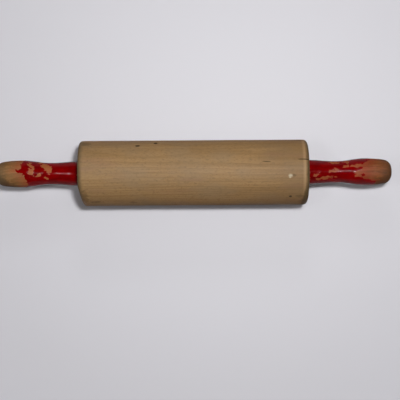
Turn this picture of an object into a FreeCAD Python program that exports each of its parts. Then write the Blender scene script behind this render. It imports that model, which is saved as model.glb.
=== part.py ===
"""A wooden rolling pin with revolving handles, built from its separate pieces.

The frame: +X runs along the pin to the right-hand handle, +Z is up, and the origin is under the middle of
the barrel, on the surface that the barrel lies on. All lengths are in millimetres.

How it goes together: a beech barrel is bored right through and has a flanged bush pressed into each end.
A steel axle runs through both bushes and both handles. Each end of the axle is turned down to a threaded
spigot. The nut on the spigot clamps a washer against the axle's shoulder, and that washer keeps the handle
on. So the barrel turns on the axle, and each handle turns on it by itself. A wooden plug closes the pocket
that the nut sits in, and is turned flush with the handle's rounded tip.
"""

import FreeCAD, Part  # FreeCAD has to be imported before Part
import math
import os

# Barrel
BARREL_DIAMETER = 72.0
BARREL_LENGTH = 250.0
BARREL_EDGE_RADIUS = 5.0
BARREL_BORE_DIAMETER = 11.0

# Axle, a steel rod with a threaded spigot at each end
AXLE_DIAMETER = 8.0
THREAD_DIAMETER = 6.0
THREAD_PAST_NUT = 1.2
THREAD_CLEARANCE = 0.05  # radial, between the spigot's thread and the nut's
THREAD_CHAMFER = 0.7

# Flanged bearing bushes, pressed into the barrel's ends
BUSH_CLEARANCE = 0.08  # radial, between the bush and the axle
BUSH_WALL = 3.0
BUSH_LENGTH = 22.0
BUSH_FLANGE_WIDTH = 4.0
BUSH_FLANGE_THICKNESS = 2.5
BUSH_BORE_CHAMFER = 0.6

# Thrust washers, between each bush and its handle
THRUST_WASHER_WIDTH = 6.0
THRUST_WASHER_THICKNESS = 1.0
WASHER_CLEARANCE = 0.2  # radial, of every washer on what it sits on
RUNNING_PLAY = 0.15  # along the axle, at each face that slides

# Handles
HANDLE_LENGTH = 92.0
HANDLE_BORE_CLEARANCE = 0.1  # radial, between the handle and the axle
ROOT_DIAMETER = 27.0
ROOT_EDGE_BREAK = 0.8
WAIST_DIAMETER = 24.0
WAIST_FROM_ROOT = 31.0
BULGE_DIAMETER = 30.0
BULGE_FROM_WAIST = 33.0
TIP_CORNER_RADIUS = 10.0
TIP_FLAT_DIAMETER = 7.0
GRIP_EASE = 0.42  # how long each grip curve runs level at its ends, as a share of the curve

# Nut and clamp washer on each threaded spigot
CLAMP_WASHER_DIAMETER = 12.0
CLAMP_WASHER_THICKNESS = 1.6
NUT_ACROSS_FLATS = 10.0
NUT_HEIGHT = 5.0
NUT_CHAMFER_ANGLE = 30.0

# Pocket in the handle's tip, and the plug that closes it
POCKET_CLEARANCE = 0.5  # radial, around the nut's corners or the washer
PLUG_LENGTH = 8.0
PLUG_GAP = 2.0  # from the spigot's end to the plug
PLUG_CHAMFER = 0.8

# What follows from the sizes above
AXIS_HEIGHT = BARREL_DIAMETER / 2
AXLE_RADIUS = AXLE_DIAMETER / 2
THREAD_RADIUS = THREAD_DIAMETER / 2
BUSH_BORE_RADIUS = AXLE_RADIUS + BUSH_CLEARANCE
BUSH_RADIUS = BUSH_BORE_RADIUS + BUSH_WALL
FLANGE_RADIUS = BUSH_RADIUS + BUSH_FLANGE_WIDTH
NUT_CORNER_RADIUS = NUT_ACROSS_FLATS / 2 / math.cos(math.radians(30))
POCKET_RADIUS = max(NUT_CORNER_RADIUS, CLAMP_WASHER_DIAMETER / 2) + POCKET_CLEARANCE

# Stations along the pin, from its middle to the right-hand tip
BARREL_END = BARREL_LENGTH / 2
BUSH_INNER_END = BARREL_END - BUSH_LENGTH
THRUST_WASHER_START = BARREL_END + RUNNING_PLAY
THRUST_WASHER_END = THRUST_WASHER_START + THRUST_WASHER_THICKNESS
HANDLE_ROOT = THRUST_WASHER_END + RUNNING_PLAY
HANDLE_TIP = HANDLE_ROOT + HANDLE_LENGTH
PLUG_INNER_END = HANDLE_TIP - PLUG_LENGTH
SPIGOT_END = PLUG_INNER_END - PLUG_GAP
NUT_END = SPIGOT_END - THREAD_PAST_NUT
NUT_START = NUT_END - NUT_HEIGHT
AXLE_SHOULDER = NUT_START - CLAMP_WASHER_THICKNESS
POCKET_FLOOR = AXLE_SHOULDER - RUNNING_PLAY

ALONG = FreeCAD.Vector(1, 0, 0)
MIDDLE = FreeCAD.Vector(0, 0, 0)


def on_axis(station, radius=0.0):
    """The point at this station and this far straight above the pin's axis."""
    return FreeCAD.Vector(station, 0, AXIS_HEIGHT + radius)


def cylinder(start, end, radius):
    """A solid cylinder on the pin's axis, from one station to another."""
    return Part.makeCylinder(radius, end - start, on_axis(start), ALONG)


def cone(start, end, start_radius, end_radius):
    """A solid cone frustum on the pin's axis, from one station to another."""
    return Part.makeCone(start_radius, end_radius, end - start, on_axis(start), ALONG)


def ring(start, end, inner_radius, outer_radius):
    """A plain ring, such as a washer, on the pin's axis."""
    return cylinder(start, end, outer_radius).cut(cylinder(start, end, inner_radius))


def mirrored(shape):
    """The left-hand twin of a right-hand piece."""
    return shape.mirror(MIDDLE, ALONG)


def rim_edges(shape, station, radius):
    """The round edges of a shape at this station and of this radius."""
    def is_rim(edge):
        curve = edge.Curve
        if not isinstance(curve, Part.Circle):
            return False
        return abs(curve.Center.x - station) < 1e-6 and abs(curve.Radius - radius) < 1e-6

    return [edge for edge in shape.Edges if is_rim(edge)]


def make_barrel():
    """The beech barrel: rounded rims, a through bore, and a stepped seat for the bush at each end."""
    barrel = cylinder(-BARREL_END, BARREL_END, BARREL_DIAMETER / 2)
    rims = [e for end in (-BARREL_END, BARREL_END) for e in rim_edges(barrel, end, BARREL_DIAMETER / 2)]
    barrel = barrel.makeFillet(BARREL_EDGE_RADIUS, rims)
    barrel = barrel.cut(cylinder(-BARREL_END, BARREL_END, BARREL_BORE_DIAMETER / 2))
    seat = cylinder(BUSH_INNER_END, BARREL_END, BUSH_RADIUS)
    seat = seat.fuse(cylinder(BARREL_END - BUSH_FLANGE_THICKNESS, BARREL_END, FLANGE_RADIUS))
    return barrel.cut(seat).cut(mirrored(seat))


def make_bush():
    """The right-hand bush, whose flange lies flush in the barrel's end face."""
    bush = cylinder(BUSH_INNER_END, BARREL_END, BUSH_RADIUS)
    bush = bush.fuse(cylinder(BARREL_END - BUSH_FLANGE_THICKNESS, BARREL_END, FLANGE_RADIUS))
    bush = bush.cut(cylinder(BUSH_INNER_END, BARREL_END, BUSH_BORE_RADIUS)).removeSplitter()
    mouths = [e for end in (BUSH_INNER_END, BARREL_END) for e in rim_edges(bush, end, BUSH_BORE_RADIUS)]
    return bush.makeChamfer(BUSH_BORE_CHAMFER, mouths)


def make_axle():
    """The steel axle: one rod with a shoulder and a threaded spigot at each end."""
    rod = cylinder(-AXLE_SHOULDER, AXLE_SHOULDER, AXLE_RADIUS)
    rod = rod.fuse(cylinder(-SPIGOT_END, SPIGOT_END, THREAD_RADIUS)).removeSplitter()
    ends = [e for end in (-SPIGOT_END, SPIGOT_END) for e in rim_edges(rod, end, THREAD_RADIUS)]
    return rod.makeChamfer(THREAD_CHAMFER, ends)


def make_thrust_washer():
    """The right-hand steel washer that the handle's root turns against."""
    inner_radius = AXLE_RADIUS + WASHER_CLEARANCE
    outer_radius = inner_radius + THRUST_WASHER_WIDTH
    return ring(THRUST_WASHER_START, THRUST_WASHER_END, inner_radius, outer_radius)


def make_clamp_washer():
    """The right-hand washer that is clamped to the axle's shoulder and keeps the handle on."""
    inner_radius = THREAD_RADIUS + WASHER_CLEARANCE
    return ring(AXLE_SHOULDER, NUT_START, inner_radius, CLAMP_WASHER_DIAMETER / 2)


def make_nut():
    """The right-hand hexagon nut, its corners chamfered on both faces."""
    corners = []
    for corner in range(7):
        turn = math.radians(60 * corner)
        corners.append(on_axis(NUT_START) + FreeCAD.Vector(
            0, NUT_CORNER_RADIUS * math.cos(turn), NUT_CORNER_RADIUS * math.sin(turn)))
    blank = Part.Face(Part.makePolygon(corners)).extrude(ALONG * NUT_HEIGHT)
    flat_radius = NUT_ACROSS_FLATS / 2
    slope = math.tan(math.radians(NUT_CHAMFER_ANGLE))
    reach = (NUT_CORNER_RADIUS - flat_radius) * slope
    outer = cone(NUT_START, NUT_START + reach, flat_radius, NUT_CORNER_RADIUS)
    outer = outer.fuse(cylinder(NUT_START + reach, NUT_END - reach, NUT_CORNER_RADIUS))
    outer = outer.fuse(cone(NUT_END - reach, NUT_END, NUT_CORNER_RADIUS, flat_radius))
    return blank.common(outer).cut(cylinder(NUT_START, NUT_END, THREAD_RADIUS + THREAD_CLEARANCE))


def grip_curve(start_station, start_radius, end_station, end_radius):
    """A curve of the grip's outline that runs level at both of its ends."""
    ease = GRIP_EASE * (end_station - start_station)
    curve = Part.BezierCurve()
    curve.setPoles([
        on_axis(start_station, start_radius),
        on_axis(start_station + ease, start_radius),
        on_axis(end_station - ease, end_radius),
        on_axis(end_station, end_radius),
    ])
    return curve.toShape()


def handle_form():
    """The outside form of the right-hand handle as a solid: root, waist, bulge and rounded tip.

    The outline past the bulge is two arcs that meet smoothly: a wide one that starts level at the bulge,
    and a tight one round the tip's corner.
    """
    root_radius = ROOT_DIAMETER / 2
    bulge_radius = BULGE_DIAMETER / 2
    flat_radius = TIP_FLAT_DIAMETER / 2
    waist = HANDLE_ROOT + WAIST_FROM_ROOT
    bulge = waist + BULGE_FROM_WAIST
    corner_centre = on_axis(HANDLE_TIP - TIP_CORNER_RADIUS, flat_radius)

    # The wide arc's centre lies straight under the bulge, its radius less the tight one's from corner_centre.
    run = corner_centre.x - bulge
    rise = bulge_radius - flat_radius
    wide_radius = (run ** 2 + rise ** 2 - TIP_CORNER_RADIUS ** 2) / (2 * (rise - TIP_CORNER_RADIUS))
    wide_centre = on_axis(bulge, bulge_radius - wide_radius)

    def on_arc(centre, radius, direction):
        return centre + FreeCAD.Vector(direction).normalize() * radius

    meeting_direction = corner_centre - wide_centre
    meeting = on_arc(wide_centre, wide_radius, meeting_direction)
    wide_middle = on_arc(wide_centre, wide_radius, meeting + on_axis(bulge, bulge_radius) - wide_centre * 2)
    tip_edge = on_axis(HANDLE_TIP, flat_radius)
    corner_middle = on_arc(corner_centre, TIP_CORNER_RADIUS, meeting + tip_edge - corner_centre * 2)

    outline = [
        Part.LineSegment(on_axis(HANDLE_ROOT), on_axis(HANDLE_ROOT, root_radius - ROOT_EDGE_BREAK)).toShape(),
        Part.LineSegment(
            on_axis(HANDLE_ROOT, root_radius - ROOT_EDGE_BREAK),
            on_axis(HANDLE_ROOT + ROOT_EDGE_BREAK, root_radius)).toShape(),
        grip_curve(HANDLE_ROOT + ROOT_EDGE_BREAK, root_radius, waist, WAIST_DIAMETER / 2),
        grip_curve(waist, WAIST_DIAMETER / 2, bulge, bulge_radius),
        Part.Arc(on_axis(bulge, bulge_radius), wide_middle, meeting).toShape(),
        Part.Arc(meeting, corner_middle, tip_edge).toShape(),
        Part.LineSegment(tip_edge, on_axis(HANDLE_TIP)).toShape(),
        Part.LineSegment(on_axis(HANDLE_TIP), on_axis(HANDLE_ROOT)).toShape(),
    ]
    return Part.Face(Part.Wire(outline)).revolve(on_axis(HANDLE_ROOT), ALONG, 360)


def make_handle():
    """The right-hand handle, bored for the axle and pocketed from the tip for the nut and the plug."""
    handle = handle_form()
    handle = handle.cut(cylinder(HANDLE_ROOT, HANDLE_TIP, AXLE_RADIUS + HANDLE_BORE_CLEARANCE))
    return handle.cut(cylinder(POCKET_FLOOR, HANDLE_TIP, POCKET_RADIUS))


def make_plug():
    """The right-hand plug: it fills the pocket's mouth and its face carries on the tip's round form."""
    plug = handle_form().common(cylinder(PLUG_INNER_END, HANDLE_TIP, POCKET_RADIUS)).removeSplitter()
    return plug.makeChamfer(PLUG_CHAMFER, rim_edges(plug, PLUG_INNER_END, POCKET_RADIUS))


def write(name, shape):
    """Writes one piece to parts/NAME.step, after a look at its soundness."""
    solids = shape.Solids
    if len(solids) != 1 or not solids[0].isValid():
        raise ValueError(f"{name} is not one sound solid")
    solids[0].exportStep(f"parts/{name}.step")
    box = solids[0].optimalBoundingBox(False)
    print(f"{name}: {box.XLength:.2f} x {box.YLength:.2f} x {box.ZLength:.2f} mm, "
          f"{solids[0].Volume / 1000:.2f} cm3")


os.makedirs("parts", exist_ok=True)
write("barrel", make_barrel())
write("axle_rod", make_axle())
PAIRED_PIECES = {
    "bearing_bush": make_bush,
    "thrust_washer": make_thrust_washer,
    "handle": make_handle,
    "clamp_washer": make_clamp_washer,
    "axle_nut": make_nut,
    "end_plug": make_plug,
}
for piece, make in PAIRED_PIECES.items():
    right_hand = make()
    write(f"right_{piece}", right_hand)
    write(f"left_{piece}", mirrored(right_hand))
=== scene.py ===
import math

import bmesh
import bpy
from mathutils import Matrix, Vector, noise


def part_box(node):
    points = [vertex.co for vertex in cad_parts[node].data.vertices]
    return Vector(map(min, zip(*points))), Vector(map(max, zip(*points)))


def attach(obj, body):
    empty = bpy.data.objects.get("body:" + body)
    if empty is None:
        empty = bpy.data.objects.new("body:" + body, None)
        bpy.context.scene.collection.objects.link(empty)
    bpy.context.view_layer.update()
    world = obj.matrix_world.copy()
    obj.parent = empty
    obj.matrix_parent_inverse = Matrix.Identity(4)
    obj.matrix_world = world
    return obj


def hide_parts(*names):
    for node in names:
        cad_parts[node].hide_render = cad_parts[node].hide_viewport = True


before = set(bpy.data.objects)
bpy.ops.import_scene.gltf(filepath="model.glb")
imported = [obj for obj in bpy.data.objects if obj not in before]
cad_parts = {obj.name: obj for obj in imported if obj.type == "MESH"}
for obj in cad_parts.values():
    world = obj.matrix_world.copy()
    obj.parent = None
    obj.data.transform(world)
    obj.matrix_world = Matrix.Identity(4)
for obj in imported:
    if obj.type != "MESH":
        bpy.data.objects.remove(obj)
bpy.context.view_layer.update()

# ---- Barrel ----------------------------------------------------------------------------------------------
# A straight roller of steamed beech, turned between centres and left bare. Years of flour and washing have
# greyed it, rounded and dirtied its rims, and left pits, nicks and a short drying crack at its right end.
# The dark colour on its rims and in its pits is partly that dirt and partly painted shade.
MM = 0.001
BARREL_LOW, BARREL_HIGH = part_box("barrel")
AXIS_HEIGHT = (BARREL_LOW.z + BARREL_HIGH.z) / 2
BARREL_RADIUS = (BARREL_HIGH.z - AXIS_HEIGHT) / MM
BARREL_END = BARREL_HIGH.x / MM
RIM_RADIUS = 5.0
RIM_CENTRE = (BARREL_END - RIM_RADIUS, BARREL_RADIUS - RIM_RADIUS)
WORN_RIM_RADIUS = RIM_RADIUS - 0.6
LEFT_FRONT_WEAR, RIGHT_FRONT_WEAR = 1.4, 0.1
WORN_CORNER_TURN, WORN_CORNER_SPREAD = -76, 50
WORN_CORNER_DEPTH, WORN_CORNER_REACH, WORN_CORNER_START = 3.4, 8.0, 15.0
SWELL_HEIGHT, DENT_HEIGHT, RIM_DENT_HEIGHT = 0.06, 0.02, 0.5

BUSH_LOW, BUSH_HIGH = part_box("right_bearing_bush")
FLANGE_SEAT_RADIUS = (BUSH_HIGH.z - AXIS_HEIGHT) / MM
FLANGE_SEAT_DEPTH = 2.5
BUSH_SEAT_RADIUS = 7.08
BUSH_SEAT_END = BUSH_LOW.x / MM
BARREL_BORE_RADIUS = 5.5

BARREL_CELL = 1.0
END_CELL = 2.0
BARREL_STEPS = 240
MARK_MARGIN, MARK_CUTS = 1.2, 3
SHARP_FOLD = math.radians(35)


def straight(start, end, cell):
    """The points of a straight stretch of an outline, about a cell apart, without its last one."""
    count = max(1, round(math.dist(start, end) / cell))
    return [tuple(Vector(start).lerp(end, i / count)) for i in range(count)]


def arc(centre, radius, start, end, count):
    """The points of a round stretch of an outline, between two angles in degrees, without its last one."""
    turns = [math.radians(start + (end - start) * i / count) for i in range(count)]
    return [(centre[0] + radius * math.cos(t), centre[1] + radius * math.sin(t)) for t in turns]


def turned(outline, steps, closed=True):
    """Spins an outline of (station, radius) points in millimetres round the pin's axis, as a lathe does."""
    shape = bmesh.new()
    corners = [shape.verts.new((x * MM, 0, AXIS_HEIGHT + r * MM)) for x, r in outline]
    followers = corners[1:] + corners[:1] if closed else corners[1:]
    edges = [shape.edges.new(pair) for pair in zip(corners, followers)]
    bmesh.ops.spin(shape, geom=corners + edges, cent=(0, 0, AXIS_HEIGHT), axis=(1, 0, 0),
                   angle=2 * math.pi, steps=steps, use_merge=True)
    bmesh.ops.recalc_face_normals(shape, faces=shape.faces)
    return shape


def place_of(vert):
    """Where a point is on the pin: its station, its turn from straight up towards the back, its radius."""
    back, up = vert.co.y / MM, (vert.co.z - AXIS_HEIGHT) / MM
    return vert.co.x / MM, math.degrees(math.atan2(back, up)), math.hypot(back, up)


def set_radius(vert, radius):
    """Moves a point straight out from the pin's axis, or in towards it."""
    arm = Vector((0, vert.co.y, vert.co.z - AXIS_HEIGHT)).normalized()
    vert.co = Vector((vert.co.x, 0, AXIS_HEIGHT)) + arm * radius * MM


def turn_between(turn, other):
    """The turn from one to another in degrees, the short way round."""
    return (turn - other + 180) % 360 - 180


def noise_place(station, vert, length, per_metre):
    """Where to read noise for a point: its lumps are this long, and across the pin this many to a metre."""
    return Vector((station / length, vert.co.y * per_metre, vert.co.z * per_metre))


class Mark:
    """An oval mark on a turned surface: a pit, nick, crack or worn spot."""

    def __init__(self, station, turn, length, width, depth=0.0, slant=0.0):
        self.station, self.turn, self.depth = station, turn, depth
        self.half_length, self.half_width = length / 2, width / 2
        self.lean = math.radians(slant)

    def distance(self, station, turn, radius):
        """0 at the mark's middle and 1 on its edge."""
        along = station - self.station
        across = math.radians(turn_between(turn, self.turn)) * radius
        cosine, sine = math.cos(self.lean), math.sin(self.lean)
        return math.hypot((along * cosine + across * sine) / self.half_length,
                          (across * cosine - along * sine) / self.half_width)

    def inside(self, station, turn, radius):
        """How far a place is inside the mark's edge, in millimetres."""
        return (1 - self.distance(station, turn, radius)) * min(self.half_length, self.half_width)


def refine(shape, mark):
    """Divides the faces round a mark more finely, so that it has a clean edge."""
    near = set()
    for vert in shape.verts:
        station, turn, radius = place_of(vert)
        across = abs(math.radians(turn_between(turn, mark.turn)) * radius)
        beside = abs(station - mark.station) < mark.half_length + MARK_MARGIN
        if radius > BARREL_BORE_RADIUS + 1 and beside and across < mark.half_width + MARK_MARGIN:
            near.add(vert)
    edges = [e for e in shape.edges if e.verts[0] in near and e.verts[1] in near]
    bmesh.ops.subdivide_edges(shape, edges=edges, cuts=MARK_CUTS, use_grid_fill=True)


BARREL_MARKS = [
    Mark(-60.5, 54.6, 6.4, 4.0, depth=1.3),
    Mark(-41.1, 63.8, 5.4, 5.0, depth=1.5),
    Mark(104.8, -48.5, 3.8, 3.4, depth=1.2),
    Mark(120.0, 21.5, 20.0, 1.2, depth=2.2),
    Mark(78.5, 17.6, 12.0, 0.9, depth=0.3, slant=-3),
    Mark(12.0, 151.0, 5.5, 1.3, depth=0.6, slant=24),
    Mark(-88.0, -128.0, 3.6, 2.4, depth=0.7),
    Mark(58.0, -103.0, 2.6, 1.1, depth=0.5, slant=40),
    Mark(-20.0, -76.0, 7.0, 0.6, depth=0.3, slant=12),
    Mark(92.0, 112.0, 4.0, 1.8, depth=0.6, slant=-30),
]

half_outline = straight((0, BARREL_RADIUS), (RIM_CENTRE[0], BARREL_RADIUS), BARREL_CELL)
half_outline += arc(RIM_CENTRE, RIM_RADIUS, 90, 0, 8)
half_outline += [(BARREL_END, RIM_CENTRE[1])]
half_outline += straight((BARREL_END, BARREL_RADIUS - 2 * RIM_RADIUS), (BARREL_END, FLANGE_SEAT_RADIUS),
                         END_CELL)
half_outline += [
    (BARREL_END, FLANGE_SEAT_RADIUS),
    (BARREL_END - FLANGE_SEAT_DEPTH, FLANGE_SEAT_RADIUS),
    (BARREL_END - FLANGE_SEAT_DEPTH, BUSH_SEAT_RADIUS),
    (BUSH_SEAT_END, BUSH_SEAT_RADIUS),
    (BUSH_SEAT_END, BARREL_BORE_RADIUS),
]
other_half = [(-x, r) for x, r in half_outline[:0:-1]]
barrel_shape = turned(half_outline + other_half, BARREL_STEPS)
for mark in BARREL_MARKS:
    refine(barrel_shape, mark)

FLOUR = [Mark(104.0, -7.0, 6.0, 4.6), Mark(103.6, -10.0, 3.4, 3.0)]
GRIME_AND_SHADE = [
    Mark(114.5, -47.0, 11.0, 6.0),
    Mark(108.4, -6.5, 5.4, 4.4),
    # Partly dirt and partly painted shade: this mark and the next darken the rims' front corners.
    Mark(120.0, -66.0, 16.0, 20.0),
    Mark(-118.5, -50.0, 13.0, 30.0),
    Mark(-106.0, -62.0, 18.0, 7.0),
    Mark(-66.0, -64.0, 12.0, 6.0),
    Mark(-117.0, 62.0, 14.0, 12.0),
    Mark(30.0, 160.0, 34.0, 12.0),
    Mark(-70.0, -150.0, 18.0, 10.0),
]


def worn_rim(station, turn):
    """How far the worn rim lies inside the barrel's wall. The left one is worn most at the front."""
    front_wear = LEFT_FRONT_WEAR if station < 0 else RIGHT_FRONT_WEAR
    rim_radius = WORN_RIM_RADIUS - math.sin(math.radians(turn)) * front_wear
    into = min(max(0.0, abs(station) - (BARREL_END - rim_radius)), rim_radius)
    return rim_radius - math.sqrt(rim_radius ** 2 - into ** 2)


def worn_face(turn, radius):
    """How far the left end face is worn back, towards its front edge."""
    away = min(abs(turn_between(turn, WORN_CORNER_TURN)) / WORN_CORNER_SPREAD, 1.0)
    outward = max(0.0, (radius - WORN_CORNER_START) / (BARREL_RADIUS - WORN_CORNER_START))
    return WORN_CORNER_DEPTH * max(0.0, math.cos(away * math.pi / 2)) * outward ** 1.5


pit_layer = barrel_shape.verts.layers.float.new("pit")
flour_layer = barrel_shape.verts.layers.float.new("flour")
grime_and_shade_layer = barrel_shape.verts.layers.float.new("grime_and_shade")
for vert in barrel_shape.verts:
    station, turn, radius = place_of(vert)
    from_left_end = station + BARREL_END
    if from_left_end < WORN_CORNER_REACH:
        vert.co.x += worn_face(turn, radius) * (1 - from_left_end / WORN_CORNER_REACH) * MM
    if radius < RIM_CENTRE[1] - 0.1:
        continue
    vert[flour_layer] = max(0.0, 1 - min(spot.distance(station, turn, radius) for spot in FLOUR) ** 2)
    vert[grime_and_shade_layer] = max(0.0, 1 - min(spot.distance(station, turn, radius) for spot in GRIME_AND_SHADE) ** 2)
    swell = noise.noise(noise_place(station, vert, length=45, per_metre=22))
    dent = noise.noise(noise_place(station, vert, length=9, per_metre=110) + Vector((7, 3, 1)))
    at_rim = max(0.0, (abs(station) - RIM_CENTRE[0]) / RIM_RADIUS)
    dent_height = DENT_HEIGHT + RIM_DENT_HEIGHT * at_rim * (1 - at_rim)
    sunk = worn_rim(station, turn) + SWELL_HEIGHT * (1 + swell) + dent_height * (1 + dent)
    pit = 0.0
    for mark in BARREL_MARKS:
        distance = mark.distance(station, turn, BARREL_RADIUS)
        if distance < 1:
            dip = (1 - distance ** 2) ** 1.5
            sunk += mark.depth * dip
            pit = max(pit, dip)
    vert[pit_layer] = pit
    set_radius(vert, BARREL_RADIUS - sunk)


def finished(name, shape, body, material, stands_for):
    """Makes a piece of a shape: smooth where it is round, sharp where it folds, and riding on its body."""
    mesh = bpy.data.meshes.new(name)
    shape.to_mesh(mesh)
    shape.free()
    mesh.shade_smooth()
    mesh.set_sharp_from_angle(angle=SHARP_FOLD)
    mesh.materials.append(material)
    piece = bpy.data.objects.new(name, mesh)
    bpy.context.scene.collection.objects.link(piece)
    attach(piece, body)
    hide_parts(*stands_for)


class Wire:
    """One socket of a node. Sums on wires are written as Python sums and become nodes."""

    def __init__(self, nodes, socket):
        self.nodes, self.socket = nodes, socket

    def node(self, kind, settings=None, inputs=None, output=0):
        """Adds a node of any type: its settings first, then the values or wires of its sockets."""
        made = self.nodes.new("ShaderNode" + kind)
        for name, value in (settings or {}).items():
            setattr(made, name, value)
        for name, value in (inputs or {}).items():
            if isinstance(value, Wire):
                self.nodes.id_data.links.new(value.socket, made.inputs[name])
            else:
                made.inputs[name].default_value = value
        return Wire(self.nodes, made.outputs[output])

    def math(self, operation, other=0.0):
        """One step of arithmetic on this value, and on another one where it needs two."""
        return self.node("Math", {"operation": operation}, {0: self, 1: other})

    def __add__(self, other):
        return self.math("ADD", other)

    def __sub__(self, other):
        return self.math("SUBTRACT", other)

    def __rsub__(self, other):
        return self.node("Math", {"operation": "SUBTRACT"}, {0: other, 1: self})

    def __mul__(self, other):
        return self.math("MULTIPLY", other)

    def __truediv__(self, other):
        return self.math("DIVIDE", other)

    def __pow__(self, other):
        return self.math("POWER", other)

    __radd__ = __add__
    __rmul__ = __mul__

    def stretched(self, x, y, z):
        """A place with its three lengths divided by these, so a pattern on it is as long as that."""
        return self.node("VectorMath", {"operation": "DIVIDE"}, {0: self, 1: (x, y, z)})

    def noise(self, detail=2.0, roughness=0.5):
        """Even cloudiness from 0 to 1, in lumps about as large as one unit of this place."""
        return self.node("TexNoise", inputs={"Vector": self, "Scale": 1.0, "Detail": detail,
                                             "Roughness": roughness})

    def eased(self, low, high, to_low=0.0, to_high=1.0):
        """Follows this value smoothly from one level to another and stays level outside them."""
        levels = {"From Min": low, "From Max": high, "To Min": to_low, "To Max": to_high}
        return self.node("MapRange", {"interpolation_type": "SMOOTHSTEP"}, {"Value": self, **levels})

    def mixed(self, first, second):
        """The first colour where this value is 0, and the second where it is 1."""
        return self.node("Mix", {"data_type": "RGBA"}, {0: self, 6: first, 7: second}, output=2)


def new_finish(name):
    """Starts a material: returns it, its shader, and the place on the piece in millimetres."""
    material = bpy.data.materials.new(name)
    material.use_nodes = True
    nodes = material.node_tree.nodes
    shader = nodes["Principled BSDF"]
    here = Wire(nodes, None).node("TexCoord", output="Object")
    place = here.node("VectorMath", {"operation": "SCALE"}, {0: here, "Scale": 1 / MM})
    return material, shader, place


def connect(shader, colour, roughness, relief):
    """Wires what varies over a surface to its shader. The relief is a height in millimetres."""
    links = shader.id_data.links
    links.new(colour.socket, shader.inputs["Base Color"])
    links.new(roughness.socket, shader.inputs["Roughness"])
    bump = relief.node("Bump", inputs={"Height": relief, "Distance": MM, "Strength": 1.0})
    links.new(bump.socket, shader.inputs["Normal"])


def split(place):
    """The three lengths of a place: along the pin, towards its back, and up."""
    parts = place.node("SeparateXYZ", inputs={0: place}).socket.node.outputs
    return [Wire(place.nodes, part) for part in parts]


def tone(red, green, blue):
    """A colour as the eye sees it, 0 to 255 in each part, in the linear values that a shader takes."""
    return tuple(((c / 255 + 0.055) / 1.055) ** 2.4 if c > 10 else c / 255 / 12.92
                 for c in (red, green, blue)) + (1.0,)


def beech(place, pith, ring_width, pale, dark, ray):
    """Beech round a pith that lies at this (back, height): its colour, relief, fibre and late rings."""
    along, back, up = split(place)
    back_arm, up_arm = back - pith[0], up - pith[1]
    wander = place.stretched(110, 26, 26).noise(1.0) - 0.5
    across = (back_arm * back_arm + up_arm * up_arm) ** 0.5 + wander * 6
    around = up_arm.math("ARCTAN2", back_arm) * math.hypot(*pith)
    ring = (across / ring_width).math("FRACT")
    late = ring.eased(0.25, 0.92) * ring.eased(0.93, 1.0, 1.0, 0.0)
    streak = place.stretched(140, 3.2, 3.2).noise(2.0)
    fibre = place.stretched(16, 0.42, 0.42).noise(3.0, 0.6)
    fleck_place = along.node("CombineXYZ", inputs={0: along / 2.4, 1: across / 4.0, 2: around / 0.4})
    fleck = fleck_place.noise(0.0).eased(0.64, 0.74)
    depth = late * 0.32 + streak.eased(0.3, 0.75) * 0.45 + fibre.eased(0.3, 0.8) * 0.3
    colour = depth.mixed(pale, dark)
    colour = (fleck * 0.35).mixed(colour, ray)
    relief = fibre * 0.05 + late * 0.02 - fleck * 0.015
    return colour, relief, fibre, late


barrel_finish, shader, place = new_finish("bare_beech")
along, back = split(place)[:2]
wood, relief, fibre, late = beech(place, pith=(-78.0, -52.0), ring_width=2.6, pale=tone(165, 132, 90),
                                  dark=tone(137, 106, 68), ray=tone(122, 88, 54))
blotch = place.stretched(42, 20, 20).noise(3.0)
wood = (blotch.eased(0.42, 0.7) * 0.5).mixed(wood, tone(142, 120, 92))
rosy = place.stretched(60, 11, 11).noise(1.0).eased(0.55, 0.75) * 0.35
wood = rosy.mixed(wood, tone(141, 106, 85))
mottle = place.stretched(4.5, 2.0, 2.0).noise(3.0, 0.6)
wood = (mottle.eased(0.48, 0.72) * 0.42).mixed(wood, tone(120, 94, 62))
# The barrel's wood is painted darker towards its right end.
darker_to_right = (along + (blotch - 0.5) * 60).eased(40.0, 120.0) * 0.4
wood = darker_to_right.mixed(wood, tone(124, 96, 64))
end_grain = along.math("ABSOLUTE").eased(122.5, 124.6)
wood = (end_grain * (late * 0.5 + 0.25)).mixed(wood, tone(98, 70, 42))
rim_noise = place.stretched(7, 5, 5).noise(3.0)
in_front = (0.0 - back).eased(8.0, 34.0)
# The left rim darkens with dirt and painted shade, more on the front side, where shade falls.
left_rim = (rim_noise * 3 - along).eased(120.0, 124.6) * (in_front * 0.25 + 0.6)
wood = left_rim.mixed(wood, tone(98, 84, 60))
# A pale band inside the right rim: partly rubbed wood and partly painted highlight, fading out on the front
# side.
polished_and_lit_edge = along.eased(117.0, 119.4) * along.eased(120.2, 121.4, 1.0, 0.0) * (0.42 - in_front * 0.42)
wood = polished_and_lit_edge.mixed(wood, tone(186, 150, 110))
# The right rim darkens with dirt and painted shade, deepest at the front, where shade falls.
right_rim = (rim_noise * 1.6 + along + in_front * 4).eased(121.6, 124.2) * (in_front * 0.2 + 0.68)
wood = right_rim.mixed(wood, tone(80, 66, 42))
# Dirt spots, and painted shade at the rims' front corners, darken the wood here.
grime_and_shade = place.node("Attribute", {"attribute_name": "grime_and_shade"}, output="Fac")
grimy_and_shaded = (grime_and_shade + (mottle - 0.5) * 1.6).eased(0.1, 0.9) * 0.5
wood = grimy_and_shaded.mixed(wood, tone(84, 66, 44))
flour = place.node("Attribute", {"attribute_name": "flour"}, output="Fac")
floury = (flour + (mottle - 0.5) * 0.6).eased(0.0, 1.1) * 0.7
wood = floury.mixed(wood, tone(212, 202, 172))
pit = place.node("Attribute", {"attribute_name": "pit"}, output="Fac")
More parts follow.
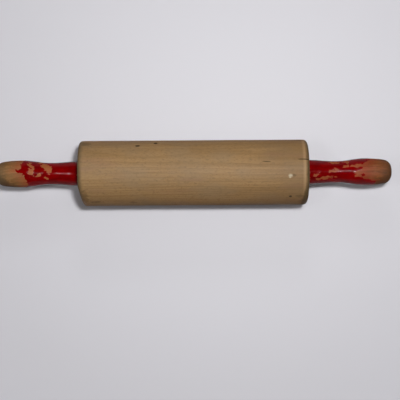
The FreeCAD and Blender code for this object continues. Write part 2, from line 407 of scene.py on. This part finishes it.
# Pits, nicks and the crack are painted near black: dirt in them and painted shade of the hollows.
wood = pit.eased(0.03, 0.4, 0.0, 0.92).mixed(wood, tone(34, 23, 13))
connect(shader, wood, fibre.eased(0.2, 0.8, 0.5, 0.68), relief)
DRY_WOOD_SHINE = 0.12
shader.inputs["Specular IOR Level"].default_value = DRY_WOOD_SHINE
finished("barrel_wood", barrel_shape, "barrel_body", barrel_finish, ["barrel"])

# ---- Bushes, axle and washers ----------------------------------------------------------------------------
# Flanged nylon bushes are pressed into the barrel. The drawn steel axle turns in them, and a steel washer
# at each end keeps the handle off the barrel. Only the washers' rims show, in the narrow gap beside it.


def from_axis(back, up):
    """How far a place is from the pin's axis."""
    up_arm = up - AXIS_HEIGHT / MM
    return (back * back + up_arm * up_arm) ** 0.5


def turned_steel(name, bright, dull):
    """Steel that was turned on the pin's axis: fine rings on its faces, and dull patches from handling."""
    material, shader, place = new_finish(name)
    along, back, up = split(place)
    rings = along.node("CombineXYZ", inputs={0: along * 9, 1: from_axis(back, up) * 9}).noise(2.0)
    stain = place.stretched(4, 4, 4).noise(3.0).eased(0.4, 0.7)
    connect(shader, stain.mixed(bright, dull), stain * 0.2 + rings * 0.15 + 0.2, rings * 0.01)
    shader.inputs["Metallic"].default_value = 1.0
    return material


def dress(material, *nodes):
    """Gives CAD pieces that keep their shape a finish."""
    for name in nodes:
        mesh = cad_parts[name].data
        mesh.materials.clear()
        mesh.materials.append(material)


dress(turned_steel("drawn_steel", tone(186, 186, 184), tone(132, 126, 116)), "axle_rod")
dress(turned_steel("washer_steel", tone(176, 176, 174), tone(112, 104, 92)),
      "left_thrust_washer", "right_thrust_washer", "left_clamp_washer", "right_clamp_washer")
dress(turned_steel("zinc_plate", tone(184, 182, 168), tone(140, 134, 116)),
      "left_axle_nut", "right_axle_nut")

nylon, shader, place = new_finish("yellowed_nylon")
cloud = place.stretched(6, 6, 6).noise(3.0)
connect(shader, cloud.eased(0.3, 0.7).mixed(tone(212, 204, 180), tone(190, 176, 142)), cloud * 0.3 + 0.3,
        place.stretched(0.6, 0.6, 0.6).noise(2.0) * 0.01)
dress(nylon, "left_bearing_bush", "right_bearing_bush")

# ---- Handles ---------------------------------------------------------------------------------------------
# Turned beech with a waist and a bulge, dipped in red lacquer. Hands have worn the lacquer off the rounded
# tips and chipped it through in patches, so each handle is bare wood with the rest of its coat over it.
ROOT_RADIUS, ROOT_BREAK = 13.5, 0.8
WAIST_RADIUS, WAIST = 12.0, 31.0
BULGE_RADIUS, BULGE = 15.0, 64.0
TIP_CORNER, TIP_FLAT = 10.0, 3.5
GRIP_EASE = 0.42
HANDLE_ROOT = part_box("right_handle")[0].x / MM
HANDLE_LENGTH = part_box("right_end_plug")[1].x / MM - HANDLE_ROOT
POCKET_RADIUS = (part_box("right_end_plug")[1].z - AXIS_HEIGHT) / MM
SIDE_PLAY, BORE_CLEARANCE = 0.15, 0.1
POCKET_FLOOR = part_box("right_clamp_washer")[0].x / MM - SIDE_PLAY
HANDLE_BORE = (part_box("axle_rod")[1].z - AXIS_HEIGHT) / MM + BORE_CLEARANCE
HANDLE_STEPS = 150
HANDLE_CELL = 0.6
COAT_STAND, STAND_FADES_FROM = 0.15, 70.0
COAT_THICKNESS = 0.3
ROOT_BARE = 0.5
RIPPLE_HEIGHT = 0.2
FLAKE_LENGTH, FLAKE_WIDTH, FLAKE_CHANCE = 2.6, 1.7, 2.6


def grip(start, end):
    """The points of a grip curve that runs level at both ends, about a cell apart, without its last one."""
    (start_along, start_radius), (end_along, end_radius) = start, end
    count = round((end_along - start_along) / HANDLE_CELL)
    points = []
    for t in (i / count for i in range(count)):
        late = t * t * (3 - 2 * t)
        ease = 3 * t * (1 - t) ** 2 * GRIP_EASE + 3 * t * t * (1 - t) * (1 - GRIP_EASE) + t ** 3
        points.append((start_along + (end_along - start_along) * ease,
                       start_radius + (end_radius - start_radius) * late))
    return points


corner = (HANDLE_LENGTH - TIP_CORNER, TIP_FLAT)
run, rise = corner[0] - BULGE, BULGE_RADIUS - TIP_FLAT
wide_radius = (run ** 2 + rise ** 2 - TIP_CORNER ** 2) / (2 * (rise - TIP_CORNER))
wide_centre = (BULGE, BULGE_RADIUS - wide_radius)
meeting = math.degrees(math.atan2(corner[1] - wide_centre[1], corner[0] - wide_centre[0]))
plug_turn = math.degrees(math.asin((POCKET_RADIUS - TIP_FLAT) / TIP_CORNER))
grip_outline = straight((0.0, ROOT_RADIUS - ROOT_BREAK), (ROOT_BREAK, ROOT_RADIUS), 0.4)
grip_outline += grip((ROOT_BREAK, ROOT_RADIUS), (WAIST, WAIST_RADIUS))
grip_outline += grip((WAIST, WAIST_RADIUS), (BULGE, BULGE_RADIUS))
grip_outline += arc(wide_centre, wide_radius, 90, meeting, 26)
grip_outline += arc(corner, TIP_CORNER, meeting, plug_turn, 16)
mouth = (corner[0] + TIP_CORNER * math.cos(math.radians(plug_turn)), POCKET_RADIUS)


class Handle:
    """One handle: where it is, how far its lacquer reaches, and where the lacquer is worn through."""

    def __init__(self, side, reach, worn, islands, lumps, ripple, seed):
        self.side, self.reach, self.worn, self.islands, self.lumps = side, reach, worn, islands, lumps
        self.ripple = ripple
        self.flakes = {}
        self.seed = Vector((seed, 3 * seed, 7 * seed))
        self.sign = 1 if side == "right" else -1

    def station(self, along):
        """A distance from the handle's root as a station on the pin."""
        return self.sign * (HANDLE_ROOT + along)

    def lacquer_end(self, turn):
        """How far from the root the lacquer reaches at a turn, eased from one listed turn to the next."""
        listed = sorted(self.reach)
        before = max((p for p in listed if p[0] <= turn), default=(listed[-1][0] - 360, listed[-1][1]))
        after = min((p for p in listed if p[0] > turn), default=(listed[0][0] + 360, listed[0][1]))
        t = (turn - before[0]) / (after[0] - before[0])
        return before[1] + (after[1] - before[1]) * t * t * (3 - 2 * t)

    def bareness(self, along, turn, radius):
        """How far inside worn wood a place is, in millimetres, and less than nought under sound lacquer."""
        bare = max((along - self.lacquer_end(turn)) * 0.6, ROOT_BARE - along)
        bare = max([bare] + [spot.inside(along, turn, radius) for spot in self.worn])
        return min([bare] + [-island.inside(along, turn, radius) for island in self.islands])

    def unevenness(self, along, turn, radius):
        """How far a place stands proud of the turned form, where the handle has a lump."""
        return sum(lump.depth * max(0.0, 1 - lump.distance(along, turn, radius) ** 2) ** 2
                   for lump in self.lumps)

    def flake_wear(self, middle, radius):
        """How worn one flake of the lacquer is: as its middle, and a little more or less by chance."""
        name = tuple(round(c, 2) for c in middle)
        if name not in self.flakes:
            place = middle - self.seed
            back, up = place.y * FLAKE_WIDTH, place.z * FLAKE_WIDTH - AXIS_HEIGHT / MM
            chance = noise.noise(middle * 5.3)
            turn = math.degrees(math.atan2(back, up))
            self.flakes[name] = self.bareness(place.x * FLAKE_LENGTH, turn, radius) + FLAKE_CHANCE * chance
        return self.flakes[name]

    def wear(self, vert):
        """How worn the lacquer is at a point. It comes off in flakes, and is gone above nought."""
        station, turn, radius = place_of(vert)
        along = self.sign * station - HANDLE_ROOT
        back, up = vert.co.y / MM, vert.co.z / MM
        place = Vector((along / FLAKE_LENGTH, back / FLAKE_WIDTH, up / FLAKE_WIDTH)) + self.seed
        gaps, middles = noise.voronoi(place)
        shares = [1 / (gap ** 6 + 1e-5) for gap in gaps]
        flakes = [self.flake_wear(middle, radius) for middle in middles]
        worn = sum(share * flake for share, flake in zip(shares, flakes)) / sum(shares)
        return worn + 0.5 * noise.fractal(Vector((along / 1.8, back, up)) + self.seed, 1.0, 2.1, 2)


def handle_wood(handle, pale, dark, fresh, stain, blush, grime_and_shade, dull):
    """The finish of the handle's bare wood: beech with lacquer left in its grain, dirt at the tip, and
    painted shade on the tip's front.
    """
    material, shader, place = new_finish(handle.side + "_handle_beech")
    along, back = split(place)[:2]
    from_root = along * handle.sign - HANDLE_ROOT
    wood, relief, fibre = beech(place, pith=(-34.0, 88.0), ring_width=2.2, pale=pale, dark=dark,
                                ray=tone(86, 52, 30))[:3]
    worn = place.node("Attribute", {"attribute_name": "wear"}, output="Fac")
    streaks = place.stretched(9, 0.9, 0.9).noise(3.0)
    dirt = place.stretched(7, 3, 3).noise(3.0)
    patch = place.stretched(10, 4.5, 4.5).noise(2.0).eased(0.46, 0.62) * 0.5
    wood = patch.mixed(wood, blush)
    newly_bared = from_root.eased(50.0, 64.0, 0.6, 0.0)
    wood = newly_bared.mixed(wood, fresh)
    near_lacquer = (worn + (streaks - 0.5) * 14).eased(1.0, 9.0, 0.45, 0.0)
    in_grain = (worn + (streaks - 0.5) * 2.0).eased(0.0, 1.2, 0.55, 0.0)
    wood = near_lacquer.math("MAXIMUM", in_grain).mixed(wood, stain)
    # Dirt at the tip and painted shade on its front side: darker towards the tip and the front.
    at_front = ((from_root - 74) * 0.8 - back - 6 + (dirt - 0.5) * 22).eased(0.0, 9.0) * 0.7
    wood = at_front.mixed(wood, grime_and_shade)
    dulled = (from_root + (dirt - 0.5) * 14).eased(74.0, 88.0) * 0.65
    wood = dulled.mixed(wood, dull)
    connect(shader, wood, fibre * 0.25 + 0.5, relief * 1.6)
    shader.inputs["Specular IOR Level"].default_value = DRY_WOOD_SHINE
    return material


def handle_coat(handle):
    """The finish of the lacquer: deep glossy red, thinner and duller towards its broken edges."""
    material, shader, place = new_finish(handle.side + "_handle_lacquer")
    worn = place.node("Attribute", {"attribute_name": "wear"}, output="Fac")
    cloud = place.stretched(12, 5, 5).noise(2.0)
    ripple = place.stretched(3.6, 2.4, 2.4).noise(1.5)
    red = cloud.eased(0.3, 0.7).mixed(tone(132, 0, 1), tone(108, 0, 1))
    thin = (worn + (ripple - 0.5) * 0.8).eased(-0.6, 0.1)
    red = (thin * 0.4).mixed(red, tone(140, 36, 28))
    gloss = 0.09 - 0.04 * handle.ripple
    connect(shader, red, thin * 0.3 + gloss, ripple * (0.08 + 0.3 * handle.ripple))
    shader.inputs["IOR"].default_value = 1.2
    return material


def make_handle(handle, wood_finish, coat_finish):
    """Turns the bare handle, then its lacquer, and cuts the lacquer away where it is worn through."""
    outline = []
    for along, radius in grip_outline:
        faded = (along - STAND_FADES_FROM) / (HANDLE_LENGTH - STAND_FADES_FROM)
        stand = COAT_STAND * (1 - min(max(0.0, faded), 1.0))
        outline.append((handle.station(along), radius - stand))
    outline += [
        (handle.station(mouth[0]), POCKET_RADIUS),
        (handle.sign * POCKET_FLOOR, POCKET_RADIUS),
        (handle.sign * POCKET_FLOOR, HANDLE_BORE),
        (handle.station(0), HANDLE_BORE),
    ]
    bare = turned(outline, HANDLE_STEPS)
    wear_layer = bare.verts.layers.float.new("wear")
    for vert in bare.verts:
        vert[wear_layer] = handle.wear(vert)
        station, turn, radius = place_of(vert)
        if radius > POCKET_RADIUS + 0.1:
            swell = noise.noise(noise_place(station, vert, length=14, per_metre=120) + handle.seed)
            along = handle.sign * station - HANDLE_ROOT
            set_radius(vert, radius - SWELL_HEIGHT * (1 + swell) + handle.unevenness(along, turn, radius))
    node = handle.side + "_handle"
    body = node + "_body"
    finished(node + "_wood", bare, body, wood_finish, [node])

    outline = [(handle.station(along), radius) for along, radius in grip_outline]
    coat = turned(outline, HANDLE_STEPS, closed=False)
    bmesh.ops.triangulate(coat, faces=coat.faces)
    wear_layer = coat.verts.layers.float.new("wear")
    for vert in coat.verts:
        vert[wear_layer] = handle.wear(vert)
    shares = {}
    for edge in coat.edges:
        first, last = (vert[wear_layer] for vert in edge.verts)
        if (first > 0) != (last > 0):
            shares[edge] = first / (first - last)
    cut = bmesh.ops.bisect_edges(coat, edges=list(shares), cuts=1, edge_percents=shares)
    line = [g for g in cut["geom_split"] if isinstance(g, bmesh.types.BMVert)]
    for vert in line:
        vert[wear_layer] = 0.0
    bmesh.ops.connect_verts(coat, verts=line)
    gone = [f for f in coat.faces if sum(v[wear_layer] for v in f.verts) > 0]
    bmesh.ops.delete(coat, geom=gone, context="FACES")
    for vert in coat.verts:
        station, turn, radius = place_of(vert)
        along = handle.sign * station - HANDLE_ROOT
        spot = noise_place(station, vert, length=4, per_metre=300) + handle.seed
        wrinkle = (0.3 + 0.2 * handle.ripple) * noise.noise(spot * 2.7)
        height = RIPPLE_HEIGHT * handle.ripple * (noise.noise(spot) + wrinkle)
        set_radius(vert, radius + height + handle.unevenness(along, turn, radius))
    bmesh.ops.recalc_face_normals(coat, faces=coat.faces)
    bmesh.ops.solidify(coat, geom=coat.faces[:], thickness=COAT_THICKNESS * MM)
    finished(node + "_coat", coat, body, coat_finish, [node])


RIGHT = Handle(
    "right",
    reach=[(-150, 66), (-95, 70), (-50, 74), (-22, 56), (15, 58), (35, 60), (52, 66), (85, 66), (130, 60),
           (175, 68)],
    worn=[Mark(9.0, -12, 7, 2.4, slant=20), Mark(17.4, -33, 19, 3.8, slant=6),
          Mark(28.2, 6, 11, 3.6, slant=14), Mark(30.4, 56, 10, 4.0), Mark(42.1, 57, 8, 3.4),
          Mark(48.1, 27, 17, 3.0), Mark(54, 27, 16, 4.4), Mark(57.1, -9, 15, 8.5), Mark(24, 128, 14, 4),
          Mark(47, 165, 12, 6), Mark(40, -120, 18, 4), Mark(14, -158, 8, 4), Mark(55, -100, 9, 5)],
    islands=[Mark(53.0, 10, 6.5, 3.0), Mark(59.2, -16, 5.0, 3.2), Mark(47, 160, 4, 2)],
    lumps=[Mark(12.0, 4, 2.6, 2.2, 0.16), Mark(16.5, 6, 3.2, 2.0, 0.13), Mark(36.0, 3, 3.0, 1.8, 0.13),
           Mark(40.0, 6, 3.4, 2.6, 0.2), Mark(43.5, 4, 2.4, 1.8, 0.13), Mark(47.0, 7, 2.8, 2.0, 0.13)],
    ripple=0.6,
    seed=1.7,
)
LEFT = Handle(
    "left",
    reach=[(-150, 60), (-95, 58), (-43, 55), (-14, 58), (-2, 59), (11, 69), (24, 62), (75, 60), (120, 64),
           (175, 57)],
    worn=[Mark(53.5, 43, 6, 6.5, slant=35), Mark(51.0, 20, 6.5, 6), Mark(52.5, 1, 5, 6, slant=-20),
          Mark(36.0, 38, 13, 8.5, slant=32), Mark(31.8, 14, 5, 7), Mark(42.0, 66, 7, 4, slant=30),
          Mark(42.6, -9, 9, 3.2, slant=-24), Mark(33.6, -30, 4.6, 2.6), Mark(28, 140, 12, 4),
          Mark(44, -120, 10, 7), Mark(40, 170, 14, 5), Mark(12, -150, 6, 3)],
    islands=[Mark(42.0, 17, 8, 6.0), Mark(51.2, 26, 2.4, 1.6), Mark(45, -118, 4, 3)],
    lumps=[],
    ripple=0.05,
    seed=5.3,
)
right_wood = handle_wood(RIGHT, pale=tone(142, 82, 44), dark=tone(94, 50, 22), fresh=tone(166, 104, 60),
                         stain=tone(148, 42, 22), blush=tone(144, 86, 56), grime_and_shade=tone(84, 54, 28),
                         dull=tone(90, 62, 40))
make_handle(RIGHT, right_wood, handle_coat(RIGHT))
left_wood = handle_wood(LEFT, pale=tone(160, 118, 72), dark=tone(108, 68, 34), fresh=tone(162, 98, 52),
                        stain=tone(166, 76, 44), blush=tone(120, 88, 54), grime_and_shade=tone(72, 52, 32),
                        dull=tone(100, 84, 60))
make_handle(LEFT, left_wood, handle_coat(LEFT))

# ---- End plugs -------------------------------------------------------------------------------------------
# A short beech plug closes the pocket over each axle nut. It was turned together with the handle's tip, so
# its face carries on the tip's round form. Only the joint shows, as a dark ring full of dirt.
PLUG_JOINT = 0.12
PLUG_BREAK = 0.8
PLUG_EDGE_START, PLUG_EDGE_END, PLUG_EDGE_DROP = 0.5, 0.2, 0.1
PLUG_STEPS = 96
PLUG_SHINE = 0.15
PLUG_TONES = {
    RIGHT: (tone(122, 90, 66), tone(88, 64, 46)),
    LEFT: (tone(128, 102, 74), tone(94, 72, 52)),
}

plug_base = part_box("right_end_plug")[0].x / MM - HANDLE_ROOT
plug_radius = POCKET_RADIUS - PLUG_JOINT
plug_face = HANDLE_LENGTH - PLUG_JOINT
plug_outline = [
    (plug_base, 0.0),
    (plug_base, POCKET_RADIUS - PLUG_BREAK),
    (plug_base + PLUG_BREAK, plug_radius),
    (mouth[0] - PLUG_EDGE_START, plug_radius),
    (mouth[0] - PLUG_EDGE_END, plug_radius - PLUG_EDGE_DROP),
]
tip_round = arc(corner, TIP_CORNER, plug_turn, 0, 8)[1:]
plug_outline += [(along - PLUG_JOINT, radius) for along, radius in tip_round]
plug_outline += [(plug_face, TIP_FLAT), (plug_face, TIP_FLAT / 2), (plug_face, 0.0)]

for handle, (pale, dark) in PLUG_TONES.items():
    outline = [(handle.station(along), radius) for along, radius in plug_outline]
    shape = turned(outline, PLUG_STEPS, closed=False)
    bmesh.ops.remove_doubles(shape, verts=shape.verts, dist=1e-6)
    bmesh.ops.dissolve_degenerate(shape, dist=1e-7, edges=shape.edges)
    bmesh.ops.recalc_face_normals(shape, faces=shape.faces)
    material, shader, place = new_finish(handle.side + "_plug_beech")
    wood, relief, fibre = beech(place, pith=(30.0, 75.0), ring_width=1.9, pale=pale, dark=dark,
                                ray=tone(70, 50, 36))[:3]
    back, up = split(place)[1:]
    dirt = place.stretched(2.5, 2.5, 2.5).noise(3.0)
    ring = (from_axis(back, up) + dirt).eased(POCKET_RADIUS - 1.2, POCKET_RADIUS + 0.4) * 0.8
    wood = ring.mixed(wood, tone(48, 38, 30))
    connect(shader, wood, fibre * 0.2 + 0.5, relief * 1.5)
    shader.inputs["Specular IOR Level"].default_value = PLUG_SHINE
    finished(handle.side + "_plug_wood", shape, handle.side + "_handle_body", material,
             [handle.side + "_end_plug"])

# ---- Floor, lights and camera ----------------------------------------------------------------------------
# A pale table top that runs out into a pale background, lamps above, and a camera straight overhead. Table
# and room give the pin the dim, warm bounce of a pastry board, but the eye and every gloss see them pale.
TABLE_TONE = tone(214, 213, 220)
BACKGROUND_TONE = tone(208, 207, 214)
BOUNCE_TONE = tone(120, 80, 36)
TABLE_RADIUS = 12.0
TABLE_FADE_START, TABLE_FADE_END = 240, 700
ROOM_LIGHT = 0.13

floor_shape = bmesh.new()
bmesh.ops.create_circle(floor_shape, cap_ends=True, segments=96, radius=TABLE_RADIUS)
floor_mesh = bpy.data.meshes.new("floor")
floor_shape.to_mesh(floor_mesh)
floor_shape.free()
floor = bpy.data.objects.new("floor", floor_mesh)
bpy.context.scene.collection.objects.link(floor)


def seen_directly(wire):
    """1 for what the camera, a gloss or a glass sees, and 0 for the light that a surface gathers."""
    camera_ray = wire.node("LightPath", output="Is Camera Ray")
    gloss_ray = wire.node("LightPath", output="Is Glossy Ray")
    glass_ray = wire.node("LightPath", output="Is Transmission Ray")
    return camera_ray.math("MAXIMUM", gloss_ray.math("MAXIMUM", glass_ray))


floor_finish, shader, place = new_finish("pale_table")
shader.inputs["Base Color"].default_value = TABLE_TONE
shader.inputs["Roughness"].default_value = 0.6
from_pin = place.node("VectorMath", {"operation": "LENGTH"}, {0: place}, output="Value")
backdrop = place.node("Emission", inputs={"Color": BACKGROUND_TONE})
table = Wire(place.nodes, shader.outputs[0])
faded = from_pin.eased(TABLE_FADE_START, TABLE_FADE_END)
table = place.node("MixShader", inputs={0: faded, 1: table, 2: backdrop})
bounce = place.node("BsdfDiffuse", inputs={"Color": BOUNCE_TONE})
table = place.node("MixShader", inputs={0: seen_directly(place), 1: bounce, 2: table})
links = floor_finish.node_tree.links
links.new(table.socket, floor_finish.node_tree.nodes["Material Output"].inputs["Surface"])
floor_mesh.materials.append(floor_finish)

world = bpy.data.worlds.new("studio")
world.use_nodes = True
world_nodes = world.node_tree.nodes
direction = Wire(world_nodes, None).node("TexCoord", output="Generated")
height = split(direction)[2]
room = height.eased(0.0, 0.9).mixed(tone(190, 160, 124), tone(252, 250, 246))
room = direction.node("Background", inputs={"Color": room, "Strength": ROOM_LIGHT})
around = height.eased(0.1, 0.4).mixed(BACKGROUND_TONE, tone(90, 90, 92))
around = direction.node("Background", inputs={"Color": around, "Strength": 1.0})
sky = direction.node("MixShader", inputs={0: seen_directly(direction), 1: room, 2: around})
world.node_tree.links.new(sky.socket, world_nodes["World Output"].inputs["Surface"])
bpy.context.scene.world = world


def lamp(name, where, power, size, glints=True, shines=True):
    """A square lamp aimed at the pin's middle. Gloss mirrors it if it glints; it lights if it shines."""
    light = bpy.data.lights.new(name, "AREA")
    light.size, light.energy = size, power
    holder = bpy.data.objects.new(name, light)
    holder.location = where
    holder.visible_glossy, holder.visible_diffuse = glints, shines
    aim = Vector((0, 0, AXIS_HEIGHT)) - Vector(where)
    holder.rotation_euler = aim.to_track_quat("-Z", "Y").to_euler()
    bpy.context.scene.collection.objects.link(holder)


OVERHEAD = (0.14, 0.12, 1.20)
lamp("overhead_lamp", OVERHEAD, power=9.2, size=0.13, glints=False)
lamp("glint_lamp", OVERHEAD, power=24.0, size=0.045, shines=False)
lamp("back_lamp", (0.0, 1.40, 1.02), power=2.4, size=0.3, glints=False)
lamp("left_lamp", (-0.425, -0.026, 1.10), power=1.1, size=0.03)
lamp("right_lamp", (0.46, 0.15, 1.15), power=0.3, size=0.04)

CAMERA_ABOVE_AXIS = 1.1
VIEW_WIDTH_AT_AXIS = 0.4425
CAMERA_RIGHT, CAMERA_BACK = 0.0069, -0.0301
CAMERA_TURN = math.radians(-0.37)
camera_data = bpy.data.cameras.new("overhead_camera")
camera_data.sensor_width = 36.0
camera_data.lens = camera_data.sensor_width * CAMERA_ABOVE_AXIS / VIEW_WIDTH_AT_AXIS
camera = bpy.data.objects.new("overhead_camera", camera_data)
camera.location = (CAMERA_RIGHT, CAMERA_BACK, AXIS_HEIGHT + CAMERA_ABOVE_AXIS)
camera.rotation_euler = (0, 0, CAMERA_TURN)
bpy.context.scene.collection.objects.link(camera)
bpy.context.scene.camera = camera
bpy.context.scene.view_settings.view_transform = "Standard"
